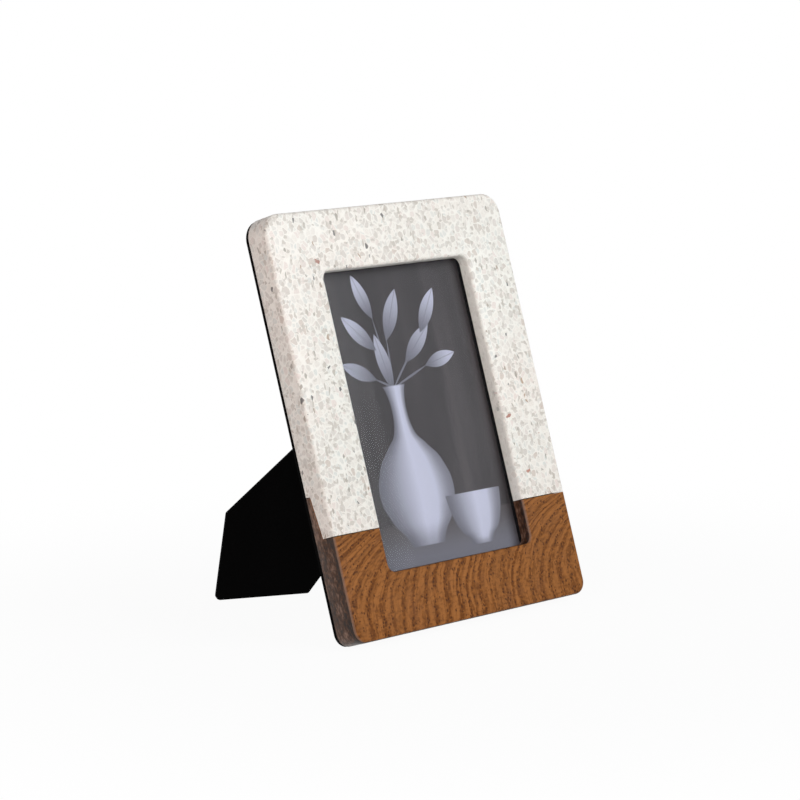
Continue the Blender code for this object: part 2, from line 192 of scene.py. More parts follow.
# Depths behind the face that follow from the stack, and the level of the lowest edge once the face leans
BOARD_FRONT = BODY_DEPTH + GAP
BOARD_BACK = BOARD_FRONT + BOARD_THICKNESS
TABLE = BOARD_INSET * math.cos(LEAN) - BOARD_BACK * math.sin(LEAN)

# Turns that lay a flat outline or a bar the way a piece needs it
QUARTER_TURN = math.radians(90)
UPRIGHT = Matrix.Rotation(QUARTER_TURN, 4, "X")
SIDEWAYS = Matrix.Rotation(QUARTER_TURN, 4, "Z") @ UPRIGHT
BACKWARDS = Matrix.Rotation(-QUARTER_TURN, 4, "X")
ALONG_PIN = Matrix.Rotation(QUARTER_TURN, 4, "Y")

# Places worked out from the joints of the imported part. STAND: the face leaning back on the table.
# HINGE: the hinge with the leg lying flat. LEG: the hinge with the leg open.
HINGE_IN_FRAME = Vector((HINGE_X, BOARD_BACK + AXIS_OFF_BOARD, HINGE_Z))
FRAME_ORIGIN = HINGE_PLACE - Matrix.Rotation(-LEAN, 3, "X") @ HINGE_IN_FRAME
STAND = Matrix.Translation((0, FRAME_ORIGIN.y, -TABLE)) @ Matrix.Rotation(-LEAN, 4, "X")
HINGE = STAND @ Matrix.Translation(HINGE_IN_FRAME) @ (Matrix.Rotation(HINGE_SLANT, 4, "Y") @ BACKWARDS)
LEG = HINGE @ Matrix.Rotation(LEG_OPEN, 4, "X")
LEG_UNDER = LEG_OFF_BOARD - AXIS_OFF_BOARD


def length(name, description, default):
    """A size that a user may change."""
    return FloatProperty(name=name, description=description, default=default, min=0.0, precision=5,
                         subtype="DISTANCE", unit="LENGTH")


def colour(name, description, default):
    """A colour that a user may change, in linear values."""
    return FloatVectorProperty(name=name, description=description, default=default, min=0.0, max=1.0,
                               size=3, subtype="COLOR")


def angle(name, description, degrees):
    """A direction that a user may change."""
    return FloatProperty(name=name, description=description, default=math.radians(degrees),
                         subtype="ANGLE", unit="ROTATION")


def power(name, description, watts):
    """The power of a lamp, which a user may change."""
    return FloatProperty(name=name, description=description, default=watts, subtype="POWER", unit="POWER")


class FaceSettings(bpy.types.PropertyGroup):
    """Sizes of the face that the terrazzo arch and the wooden base share."""
    width: length("Width", "Width of the face", FACE_HIGH.x - FACE_LOW.x)
    height: length("Height", "Height along the leaning face", 0.200)
    top_corner: length("Top corners", "Radius of the two upper corners", 0.010)
    bottom_corner: length("Bottom corners", "Radius of the two lower corners", 0.0065)
    edge_round: length("Edge rounding", "Radius along the edges of the face", 0.0016)
    opening_width: length("Opening width", "Width of the picture opening", 0.0952)
    opening_height: length("Opening height", "Height of the picture opening", 0.1418)
    opening_corner: length("Opening corners", "Radius of the corners of the opening", 0.004)
    lip_depth: length("Lip depth", "Depth from the face to the glass", 0.0063)
    shoulder_height: length("Joint height", "Height up the face where terrazzo meets wood", 0.050)
    tongue_height: length("Tongue height", "Height that the wood climbs at the back", 0.070)


class TerrazzoSettings(bpy.types.PropertyGroup):
    """Looks of the cast terrazzo."""
    ground: colour("Cement", "White cement between the chips", (0.984, 0.932, 0.873))
    pale_chip: colour("Pale chips", "Palest marble chips", (0.845, 0.791, 0.734))
    grey_chip: colour("Grey chips", "Grey marble chips", (0.575, 0.514, 0.456))
    dark_chip: colour("Dark chips", "Few small dark chips", (0.10, 0.092, 0.088))
    red_chip: colour("Red chips", "Few slivers of red stone", (0.52, 0.25, 0.19))
    # Painted light: this pale colour lightens the walls of the opening where they stand in shade
    skin: colour("Cast skin", "Smooth cement on the walls of the opening", (0.950, 0.950, 0.880))
    chip_size: length("Chip size", "Usual size of a chip", 0.0019)


class WoodSettings(bpy.types.PropertyGroup):
    """Looks of the wooden base."""
    late: colour("Late wood", "Wood between the pore bands", (0.318, 0.118, 0.029))
    early: colour("Early wood", "Wood in the pore bands", (0.160, 0.048, 0.006))
    pore: colour("Pores", "Open pores", (0.050, 0.013, 0.003))
    side: colour("Sides", "Sealed sides of the base", (0.066, 0.025, 0.009))
    # Worn edges: streaks where the dark finish has gone; the same colour is also the painted highlight on
    # the sideways edges and the painted light on the inner wall
    wear_and_painted_light: colour("Worn edges", "Edges and streaks where the dark finish has gone", (0.255, 0.150, 0.105))
    ring_width: length("Ring width", "Distance from one pore band to the next", 0.0068)


class PictureSettings(bpy.types.PropertyGroup):
    """Looks of the glass, the print and the card."""
    ground: colour("Print ground", "Dark ground of the print", (0.074, 0.066, 0.068))
    middle: colour("Print middle tone", "Shaded parts of the print", (0.260, 0.258, 0.310))
    pale: colour("Print pale tone", "Lit parts of the print", (0.760, 0.770, 0.950))
    card: colour("Card", "Grey-brown backing card", (0.42, 0.36, 0.28))
    glass_tint: colour("Glass tint", "Faint tint of the glass", (0.030, 0.034, 0.034))


class BackSettings(bpy.types.PropertyGroup):
    """Looks of the black boards and of the metal on them."""
    nap: colour("Flock", "Black flock on the boards and the leg", (0.0010, 0.0010, 0.0010))
    nap_light: colour("Flock tips", "Tips of the flock where they catch light", (0.0065, 0.0062, 0.0065))
    metal: colour("Plating", "Nickel plating of the hinge and fasteners", (0.62, 0.60, 0.57))


class StageSettings(bpy.types.PropertyGroup):
    """Camera and studio."""
    distance: length("Camera distance", "Distance from the camera to the middle of the face", 1.4750)
    turn: angle("Camera turn", "How far the camera stands to the left of the face", 45.404)
    rise: angle("Camera rise", "How far the camera stands above the middle of the face", 9.331)
    lens: FloatProperty(name="Lens", description="Focal length for a 36 mm sensor, in millimetres",
                        default=141.23, subtype="DISTANCE_CAMERA")
    shift: FloatVectorProperty(name="Lens shift", description="Sideways and upward shift of the picture",
                               size=2, default=(-0.03715, 0.01161))
    key_power: power("Key lamp", "Power of the large lamp at the right", 20.1)
    side_power: power("Side lamp", "Power of the large lamp at the left", 15.3)
    fill: FloatProperty(name="Fill", description="Even light from all round", default=0.10, min=0.0)
    key_colour: colour("Key colour", "Cool light of the key lamp", (0.88, 0.952, 0.977))
    fill_colour: colour("Fill colour", "Warm light of the side lamp and from all round", (1.0, 0.925, 0.905))
    floor: colour("Floor", "Pale floor under the frame", (0.86, 0.86, 0.86))


class PictureFrameSettings(bpy.types.PropertyGroup):
    """All settings of the picture frame."""
    face: PointerProperty(type=FaceSettings)
    terrazzo: PointerProperty(type=TerrazzoSettings)
    wood: PointerProperty(type=WoodSettings)
    picture: PointerProperty(type=PictureSettings)
    back: PointerProperty(type=BackSettings)
    stage: PointerProperty(type=StageSettings)


def rounded(corners):
    """Points of an outline given as (x, y, corner radius), in order."""
    points = []
    count = len(corners)
    for index, (x, y, radius) in enumerate(corners):
        here = Vector((x, y))
        if radius == 0:
            points.append(here)
            continue
        before = (Vector(corners[index - 1][:2]) - here).normalized()
        after = (Vector(corners[(index + 1) % count][:2]) - here).normalized()
        half_angle = before.angle(after) / 2
        centre = here + (before + after).normalized() * radius / math.sin(half_angle)
        start = here + before * radius / math.tan(half_angle) - centre
        end = here + after * radius / math.tan(half_angle) - centre
        sweep = start.angle_signed(end)
        for step in range(ARC_STEPS + 1):
            turn = Matrix.Rotation(-sweep * step / ARC_STEPS, 2)
            points.append(centre + turn @ start)
    return points


def rectangle(size, low_radius, high_radius, middle):
    """Rounded rectangle centred on x = 0, counter-clockwise."""
    half = size[0] / 2
    low = middle - size[1] / 2
    high = middle + size[1] / 2
    return rounded([(-half, low, low_radius), (half, low, low_radius),
                    (half, high, high_radius), (-half, high, high_radius)])


def slab(name, loops, thickness, place, edge_round=0.0):
    """A flat outline with thickness and rounded edges, lying in the x-y plane of its place."""
    curve = bpy.data.curves.new(name, "CURVE")
    curve.dimensions = "2D"
    curve.fill_mode = "BOTH"
    curve.extrude = thickness / 2 - edge_round
    curve.bevel_depth = edge_round
    curve.bevel_resolution = EDGE_STEPS
    curve.offset = -edge_round
    for loop in loops:
        spline = curve.splines.new("POLY")
        spline.points.add(len(loop) - 1)
        for point, spot in zip(spline.points, loop):
            point.co = (spot.x, spot.y, 0, 1)
        spline.use_cyclic_u = True
    outline = bpy.data.objects.new(name, curve)
    bpy.context.scene.collection.objects.link(outline)
    mesh = shaped_mesh(outline)
    bpy.data.objects.remove(outline)
    bpy.data.curves.remove(curve)
    work = bmesh.new()
    work.from_mesh(mesh)
    bmesh.ops.remove_doubles(work, verts=work.verts, dist=WELD)
    bmesh.ops.recalc_face_normals(work, faces=work.faces)
    work.to_mesh(mesh)
    work.free()
    return put(name, mesh, place)


def face_slab(name, loops, front, thickness, edge_round=0.0):
    """A slab parallel to the face, its mesh in frame coordinates."""
    piece = slab(name, loops, thickness, STAND, edge_round)
    piece.data.transform(Matrix.Translation((0, front + thickness / 2, 0)) @ UPRIGHT)
    return piece


def turned(name, profile, place):
    """A turned piece: (radius, height) points from top to bottom, swept round the z of its place."""
    work = bmesh.new()
    rings = []
    for radius, height in profile:
        count = TURN_STEPS if radius > 0 else 1
        turns = [2 * math.pi * step / TURN_STEPS for step in range(count)]
        spots = [(radius * math.cos(turn), radius * math.sin(turn), height) for turn in turns]
        rings.append([work.verts.new(spot) for spot in spots])
    for upper, lower in zip(rings, rings[1:]):
        for step in range(TURN_STEPS):
            after = (step + 1) % TURN_STEPS
            if len(upper) == 1:
                work.faces.new((upper[0], lower[step], lower[after]))
            elif len(lower) == 1:
                work.faces.new((upper[step], lower[0], upper[after]))
            else:
                work.faces.new((upper[step], lower[step], lower[after], upper[after]))
    bmesh.ops.recalc_face_normals(work, faces=work.faces)
    return put_work(name, work, place)


def block(name, size, place):
    """A box centred on its place, used to cut or join."""
    work = bmesh.new()
    bmesh.ops.create_cube(work, size=1.0)
    bmesh.ops.scale(work, vec=size, verts=work.verts)
    return put_work(name, work, place)


def bar(name, radius, bar_length, place):
    """A round bar along the z of its place, used to cut or join."""
    half = bar_length / 2
    return turned(name, [(0, half), (radius, half), (radius, -half), (0, -half)], place)


def put(name, mesh, place):
    """An object for a mesh, at its place in the world."""
    piece = bpy.data.objects.new(name, mesh)
    bpy.context.scene.collection.objects.link(piece)
    piece.matrix_world = place
    return piece


def put_work(name, work, place):
    """An object for a shape that is still being worked, at its place in the world."""
    mesh = bpy.data.meshes.new(name)
    work.to_mesh(mesh)
    work.free()
    return put(name, mesh, place)


def shaped_mesh(piece):
    """The mesh of an object with its modifiers applied."""
    bpy.context.view_layer.update()
    return bpy.data.meshes.new_from_object(piece.evaluated_get(bpy.context.evaluated_depsgraph_get()))


def keep_shape(piece):
    """Make the result of the modifiers the mesh of the piece."""
    mesh = shaped_mesh(piece)
    old = piece.data
    piece.modifiers.clear()
    piece.data = mesh
    bpy.data.meshes.remove(old)


def cut(piece, operation, tools):
    """Cut a piece with tools, or join tools to it, and clear the tools away."""
    for tool in tools:
        step = piece.modifiers.new(tool.name, "BOOLEAN")
        step.operation = operation
        step.solver = "EXACT"
        step.object = tool
    keep_shape(piece)
    for tool in tools:
        bpy.data.meshes.remove(tool.data)


def clear_slivers(piece):
    """Weld the points that the cuts left side by side."""
    work = bmesh.new()
    work.from_mesh(piece.data)
    bmesh.ops.remove_doubles(work, verts=work.verts, dist=CUT_WELD)
    bmesh.ops.dissolve_degenerate(work, edges=work.edges, dist=CUT_WELD)
    work.to_mesh(piece.data)
    work.free()


def soften(piece, width):
    """Take the sharpness off the cut edges of a piece."""
    clear_slivers(piece)
    step = piece.modifiers.new("soft_edges", "BEVEL")
    step.width = width
    step.segments = 2
    step.limit_method = "ANGLE"
    step.angle_limit = SMOOTH_BELOW
    keep_shape(piece)


def dress(piece, settings, body, slot, node):
    """Give a piece its body and the finish of its slot, in place of the solid that it stands for."""
    piece.data.transform(piece.matrix_world)
    piece.matrix_world = Matrix.Identity(4)
    piece.data.materials.clear()
    piece.data.materials.append(finish_for(slot, settings))
    piece.data.shade_smooth()
    piece.data.set_sharp_from_angle(angle=SMOOTH_BELOW)
    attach(piece, body)
    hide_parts(node)


class Finish:
    """A material built node by node round one shader."""

    def __init__(self, name, **fixed):
        self.material = bpy.data.materials.new(name)
        self.material.use_nodes = True
        self.tree = self.material.node_tree
        self.shader = self.tree.nodes["Principled BSDF"]
        for socket, value in fixed.items():
            self.feed(self.shader.inputs[socket.replace("_", " ")], value)
        coordinates = self.node("ShaderNodeTexCoord")
        self.place = self.moved(coordinates.outputs["Object"], STAND.translation, STAND.to_euler(),
                                kind="TEXTURE")
        self.facing = coordinates.outputs["Normal"]

    def feed(self, socket, value):
        """Link a socket to another, or set it."""
        if isinstance(value, bpy.types.NodeSocket):
            self.tree.links.new(value, socket)
        elif socket.type == "RGBA" and len(value) == 3:
            socket.default_value = (*value, 1.0)
        else:
            socket.default_value = value

    def node(self, kind, inputs=None, **settings):
        """A new node with its settings made and its inputs fed."""
        made = self.tree.nodes.new(kind)
        for name, value in settings.items():
            setattr(made, name, value)
        for name, value in (inputs or {}).items():
            self.feed(made.inputs[name], value)
        return made

    def math(self, operation, *values):
        """One sum."""
        made = self.node("ShaderNodeMath", operation=operation)
        for socket, value in zip(made.inputs, values):
            self.feed(socket, value)
        return made.outputs[0]

    def times(self, first, second):
        """Two values multiplied."""
        return self.math("MULTIPLY", first, second)

    def plus(self, first, second):
        """Two values added."""
        return self.math("ADD", first, second)

    def minus(self, first, second):
        """The second value taken from the first."""
        return self.math("SUBTRACT", first, second)

    def swing(self, value, reach):
        """A random value from 0 to 1 turned into a push to either side."""
        return self.times(self.minus(value, 0.5), reach)

    def vectors(self, operation, inputs, output=0):
        """One sum of vectors."""
        return self.node("ShaderNodeVectorMath", inputs, operation=operation).outputs[output]

    def joined(self, values, scales):
        """A vector of three values, each with its own scale."""
        scaled = [self.times(value, scale) for value, scale in zip(values, scales)]
        return self.node("ShaderNodeCombineXYZ", dict(zip("XYZ", scaled))).outputs[0]

    def ease(self, value, start, end, low=0.0, high=1.0):
        """A soft step from low to high while a value goes from start to end."""
        limits = {"Value": value, "From Min": start, "From Max": end, "To Min": low, "To Max": high}
        return self.node("ShaderNodeMapRange", limits, interpolation_type="SMOOTHSTEP").outputs["Result"]

    def mix(self, share, first, second, blend="MIX"):
        """Two colours mixed."""
        made = self.node("ShaderNodeMix", data_type="RGBA", blend_type=blend)
        for index, value in ((0, share), (6, first), (7, second)):
            self.feed(made.inputs[index], value)
        return made.outputs[2]

    def ramp(self, value, stops):
        """Colours along a value, from (position, colour) stops."""
        made = self.node("ShaderNodeValToRGB", {"Fac": value})
        elements = made.color_ramp.elements
        while len(elements) < len(stops):
            elements.new(1.0)
        for element, (position, stop) in zip(elements, stops):
            element.position = position
            element.color = (*stop, 1.0)
        return made.outputs["Color"]

    def parts(self, vector):
        """The three parts of a vector."""
        return self.node("ShaderNodeSeparateXYZ", {"Vector": vector}).outputs

    def moved(self, vector, location=(0, 0, 0), rotation=(0, 0, 0), scale=(1, 1, 1), kind="POINT"):
        """Coordinates moved, turned and stretched."""
        made = self.node("ShaderNodeMapping", {"Vector": vector, "Location": location, "Rotation": rotation,
                                               "Scale": scale}, vector_type=kind)
        return made.outputs["Vector"]

    def clouds(self, scale, detail=2.0, vector=None):
        """Soft random light and dark from 0 to 1, in frame coordinates if no others are given."""
        inputs = {"Vector": self.place if vector is None else vector, "Scale": scale, "Detail": detail}
        return self.node("ShaderNodeTexNoise", inputs).outputs["Fac"]

    def stretched(self, *scale):
        """Frame coordinates stretched along x, y and z."""
        return self.moved(self.place, scale=scale)

    def cells(self, vector, scale, feature="F1"):
        """Random cells."""
        return self.node("ShaderNodeTexVoronoi", {"Vector": vector, "Scale": scale}, feature=feature).outputs

    def shaken(self, vector, scale, reach):
        """Coordinates shaken by random steps, so that edges drawn in them run ragged."""
        made = self.node("ShaderNodeTexNoise", {"Vector": vector, "Scale": scale, "Detail": 1.0})
        step = self.vectors("SUBTRACT", {0: made.outputs["Color"], 1: (0.5, 0.5, 0.5)})
        reached = self.vectors("SCALE", {0: step, "Scale": reach})
        return self.vectors("ADD", {0: vector, 1: reached})

    def bump(self, height, distance, strength=1.0):
        """Raise or sink the surface a little."""
        made = self.node("ShaderNodeBump", {"Height": height, "Distance": distance, "Strength": strength})
        self.feed(self.shader.inputs["Normal"], made.outputs["Normal"])

    def paint(self, socket, value):
        """Feed an input of the shader."""
        self.feed(self.shader.inputs[socket], value)


def tone(value, factor):
    """A colour made lighter or darker."""
    return tuple(min(1.0, part * factor) for part in value)


def blend(first, second, share):
    """A colour between two."""
    return tuple(a + (b - a) * share for a, b in zip(first, second))


def terrazzo_finish(looks):
    """White cement full of small marble chips, ground flat."""
    finish = Finish("terrazzo")
    size = looks.chip_size
    spots = finish.shaken(finish.place, 0.6 / size, 0.6 * size)
    cloud = finish.clouds(0.05 / size, 3.0)
    grain = finish.clouds(3.0 / size, 2.0)
    surface = finish.mix(cloud, tone(looks.ground, 0.97), tone(looks.ground, 1.03))
    surface = finish.mix(finish.ease(grain, 0.50, 0.75, 0.0, 0.25), surface, looks.grey_chip)
    grey = looks.grey_chip
    pale = looks.pale_chip
    beige = blend(pale, (0.78, 0.62, 0.53), 0.5)
    pink = blend(pale, (0.90, 0.76, 0.71), 0.5)
    cool = blend(pale, (0.75, 0.77, 0.74), 0.6)
    tan = (0.52, 0.37, 0.27)
    pebble = [(0.0, tone(pale, 1.10)), (0.3, tone(pale, 1.03)), (0.5, cool), (0.65, tone(pale, 0.96)),
              (0.80, pink), (0.90, tone(pale, 0.86)), (1.0, tone(beige, 0.88))]
    grit = [(0.0, tone(pale, 0.94)), (0.5, blend(grey, pale, 0.5)), (1.0, blend(grey, pale, 0.2))]
    sliver = [(0.0, blend(grey, pale, 0.4)), (0.6, grey), (0.85, tone(grey, 0.75)), (1.0, tan)]
    dark = [(0.0, looks.dark_chip), (0.6, tone(looks.dark_chip, 2.0)), (1.0, tone(looks.dark_chip, 3.5))]
    red = [(0.0, tone(looks.red_chip, 0.7)), (0.5, looks.red_chip), (1.0, blend(looks.red_chip, pale, 0.5))]
    bed = finish.moved(spots, scale=(1.0, 1.0, 0.85))
    bed_scale = 1 / (1.40 * size)
    pebbles = finish.cells(bed, bed_scale)
    picked = finish.parts(pebbles["Color"])
    seam = finish.cells(bed, bed_scale, "DISTANCE_TO_EDGE")["Distance"]
    lump = finish.times(finish.ease(seam, 0.02, 0.11), finish.ease(pebbles["Distance"], 0.86, 0.60))
    mottle = finish.ramp(grain, [(0.35, (0.93, 0.93, 0.93)), (0.65, (1.05, 1.05, 1.05))])
    stone = finish.mix(1.0, finish.ramp(picked[1], pebble), mottle, "MULTIPLY")
    surface = finish.mix(lump, surface, stone)
    layers = (
        (0.95, (1.0, 1.0, 0.75), 0.8, 0.12, grit),
        (0.78, (0.65, 1.0, 1.0), -0.6, 0.12, grit),
        (0.72, (1.0, 1.0, 0.50), 1.1, 0.055, sliver),
        (0.70, (0.9, 1.0, 0.60), 0.3, 0.005, dark),
        (0.95, (0.6, 1.0, 1.00), 0.6, 0.004, red),
    )
    for cell, stretch, turn, share, shades in layers:
        vector = finish.moved(spots, rotation=(0, turn, 0.4 * turn), scale=stretch)
        picked = finish.parts(finish.cells(vector, 1 / (cell * size))["Color"])
        rim = finish.cells(vector, 1 / (cell * size), "DISTANCE_TO_EDGE")["Distance"]
        chosen = finish.math("LESS_THAN", picked[0], share)
        chip = finish.times(chosen, finish.ease(rim, 0.03, 0.12))
        surface = finish.mix(chip, surface, finish.ramp(picked[1], shades))
    batch = finish.ease(finish.clouds(0.03 / size, 1.0), 0.35, 0.65)
    tint = finish.mix(batch, (1.0, 0.985, 0.975), (0.985, 0.998, 0.992))
    surface = finish.mix(1.0, surface, tint, "MULTIPLY")
    x, y, z = finish.parts(finish.place)
    # Painted light: the walls of the opening are lightened where they stand in shade
    between = finish.ease(finish.math("ABSOLUTE", x), *WALL_LIGHT_ACROSS)
    inside = finish.times(between, finish.ease(z, *WALL_LIGHT_UP))
    skin = finish.times(inside, finish.ease(y, *WALL_LIGHT_DEPTH, 0.0, 0.6))
    surface = finish.mix(skin, surface, looks.skin)
    finish.paint("Base Color", surface)
    finish.paint("Roughness", finish.ease(grain, 0.3, 0.7, 0.36, 0.50))
    finish.bump(grain, 0.00003, 0.4)
    return finish.material


def wood_finish(looks):
    """Ring-porous wood: bands of open pores, upright in the bottom rail and leaning in the two stiles."""
    finish = Finish("ring_porous_wood")
    x, y, z = finish.parts(finish.place)
    lean = finish.times(finish.math("POWER", finish.math("MAXIMUM", z, 0.0), 3.0), 390.0)
    sway = finish.swing(finish.clouds(30.0, 1.0), 0.011)
    shake = finish.swing(finish.clouds(300.0, 2.0), 0.0022)
    across = finish.plus(finish.minus(x, lean), finish.plus(sway, shake))
    across = finish.plus(across, finish.times(y, 0.35))
    seasons = finish.node("ShaderNodeTexNoise", {"W": across, "Scale": 45.0, "Detail": 1.0},
                          noise_dimensions="1D").outputs[0]
    growth = finish.swing(seasons, 0.016)
    rings = finish.math("DIVIDE", finish.plus(across, growth), looks.ring_width)
    ring = finish.math("FRACT", rings)
    number = finish.math("FLOOR", rings)
    chance = finish.node("ShaderNodeTexWhiteNoise", {"W": number}, noise_dimensions="1D").outputs["Value"]

    early = looks.early
    late = looks.late
    band = [(0.0, blend(late, early, 0.5)), (0.08, early), (0.30, tone(early, 0.92)),
            (0.46, blend(early, late, 0.6)), (0.60, late), (0.80, tone(late, 1.12)), (0.97, late)]
    wood = finish.ramp(ring, band)
    wood = finish.mix(finish.ease(chance, 0.2, 1.0, 0.0, 0.65), wood, tone(late, 0.80))
    patches = finish.ease(finish.clouds(70.0, 3.0), 0.45, 0.75, 0.0, 0.45)
    wood = finish.mix(patches, wood, (0.200, 0.075, 0.028))

    rays = finish.clouds(1.0, 3.0, finish.joined((across, y, z), (420.0, 420.0, 700.0)))
    lines = finish.clouds(1.0, 2.0, finish.joined((across, y, z), (620.0, 620.0, 110.0)))
    fibres = ((lines, 0.52, 0.66, 0.70, tone(late, 1.18)), (lines, 0.48, 0.34, 0.70, tone(early, 0.90)),
              (rays, 0.50, 0.68, 0.55, tone(late, 1.22)), (rays, 0.50, 0.32, 0.55, tone(early, 0.75)))
    for value, start, end, share, shade in fibres:
        wood = finish.mix(finish.ease(value, start, end, 0.0, share), wood, shade)

    porous = finish.minus(1.0, finish.ease(ring, 0.20, 0.50))
    spots = finish.stretched(1.0, 1.0, 0.75)
    pores = finish.cells(spots, 820.0)
    picked = finish.parts(pores["Color"])[0]
    many = finish.plus(finish.times(porous, 0.70), 0.10)
    chosen = finish.math("LESS_THAN", picked, many)
    hole = finish.times(chosen, finish.ease(pores["Distance"], 0.52, 0.24))
    wood = finish.mix(finish.times(hole, 0.80), wood, looks.pore)

    depth_axis = STAND.to_3x3() @ Vector((0, 1, 0))
    flat = finish.math("ABSOLUTE", finish.vectors("DOT_PRODUCT", {0: finish.facing, 1: depth_axis}, "Value"))
    sealed = finish.ease(flat, 0.80, 0.45)
    fibre = finish.clouds(950.0, 3.0, finish.stretched(1.0, 1.0, 0.45))
    patch = finish.clouds(160.0, 2.0)
    # Wear on the sealed sides, in streaks and patches
    wear_and_painted_light = finish.plus(finish.times(fibre, 0.65), finish.times(patch, 0.35))
    # Darker towards the front edge of the sides
    wear_and_painted_light = finish.minus(wear_and_painted_light, finish.ease(y, 0.0055, 0.0015, 0.0, 0.13))
    # Lighter up the tongue, above the joint
    wear_and_painted_light = finish.plus(wear_and_painted_light, finish.ease(z, 0.046, 0.056, 0.0, 0.11))
    # Painted light: the right half, where the inner wall of the opening stands in shade, is made lighter
    wear_and_painted_light = finish.plus(wear_and_painted_light, finish.ease(x, 0.0, 0.02, 0.0, 0.08))
    side = finish.ramp(wear_and_painted_light, [(0.34, tone(looks.side, 0.18)), (0.51, looks.side), (0.70, looks.wear_and_painted_light)])
    side = finish.mix(finish.times(hole, 0.5), side, tone(looks.side, 0.3))
    wood = finish.mix(sealed, wood, side)
    # Painted highlight: the rounded edges that face sideways are lightened
    edge_highlight = finish.times(finish.ease(flat, 0.30, 0.55), finish.ease(flat, 0.97, 0.85))
    upright = finish.ease(finish.math("ABSOLUTE", finish.parts(finish.facing)[0]), 0.15, 0.50, 0.0, 0.55)
    wood = finish.mix(finish.times(edge_highlight, upright), wood, looks.wear_and_painted_light)
    finish.paint("Specular IOR Level", finish.ease(flat, 0.80, 0.45, 0.1, 0.30))
    finish.paint("Base Color", wood)
    dullness = finish.ease(rays, 0.3, 0.7, 0.45, 0.60)
    finish.paint("Roughness", finish.minus(dullness, finish.times(sealed, 0.15)))
    finish.bump(finish.minus(finish.times(rays, 0.3), hole), 0.00012, 0.6)
    return finish.material


def glass_finish(looks):
    """Clear picture glass with a little dust and unevenness in its gloss."""
    finish = Finish("picture_glass", Base_Color=looks.glass_tint)
    dust = finish.clouds(900.0, 3.0)
    finish.paint("Roughness", finish.ease(dust, 0.4, 0.8, 0.03, 0.10))
    finish.paint("Alpha", finish.ease(dust, 0.45, 0.85, 0.060, 0.085))
    return finish.material


def leaf(finish, centre, half_length, half_width, turn):
    """Mask and lengthwise place of one printed leaf."""
    spot = (centre[0], 0, centre[1])
    vector = finish.moved(finish.place, spot, (0, -turn, 0), (half_length, 1, half_width), "TEXTURE")
    along, _, across = finish.parts(vector)
    bow = finish.minus(1.0, finish.times(along, along))
    width = finish.math("ABSOLUTE", across)
    mask = finish.ease(finish.minus(bow, width), 0.0, 0.10)
    rib = finish.ease(width, 0.10, 0.03)
    return mask, along, rib


def outline_of(finish, centre, low, high, widest, points):
    """Mask and sideways place of a printed pot, from its half widths (0 to 1) between low and high."""
    x, _, z = finish.parts(finish.place)
    up = finish.math("DIVIDE", finish.minus(z, low), high - low)
    curve = finish.node("ShaderNodeFloatCurve", {"Value": up})
    line = curve.mapping.curves[0]
    for spot in points[1:-1]:
        line.points.new(*spot)
    line.points[0].location = points[0]
    line.points[-1].location = points[-1]
    curve.mapping.update()
    half = finish.times(curve.outputs["Value"], widest)
    side = finish.minus(x, centre)
    room = finish.minus(half, finish.math("ABSOLUTE", side))
    mask = finish.ease(room, 0.0, 0.0005)
    inside = finish.times(finish.ease(up, 0.0, 0.012), finish.ease(up, 1.0, 0.988))
    return finish.times(mask, inside), finish.math("DIVIDE", side, half), up


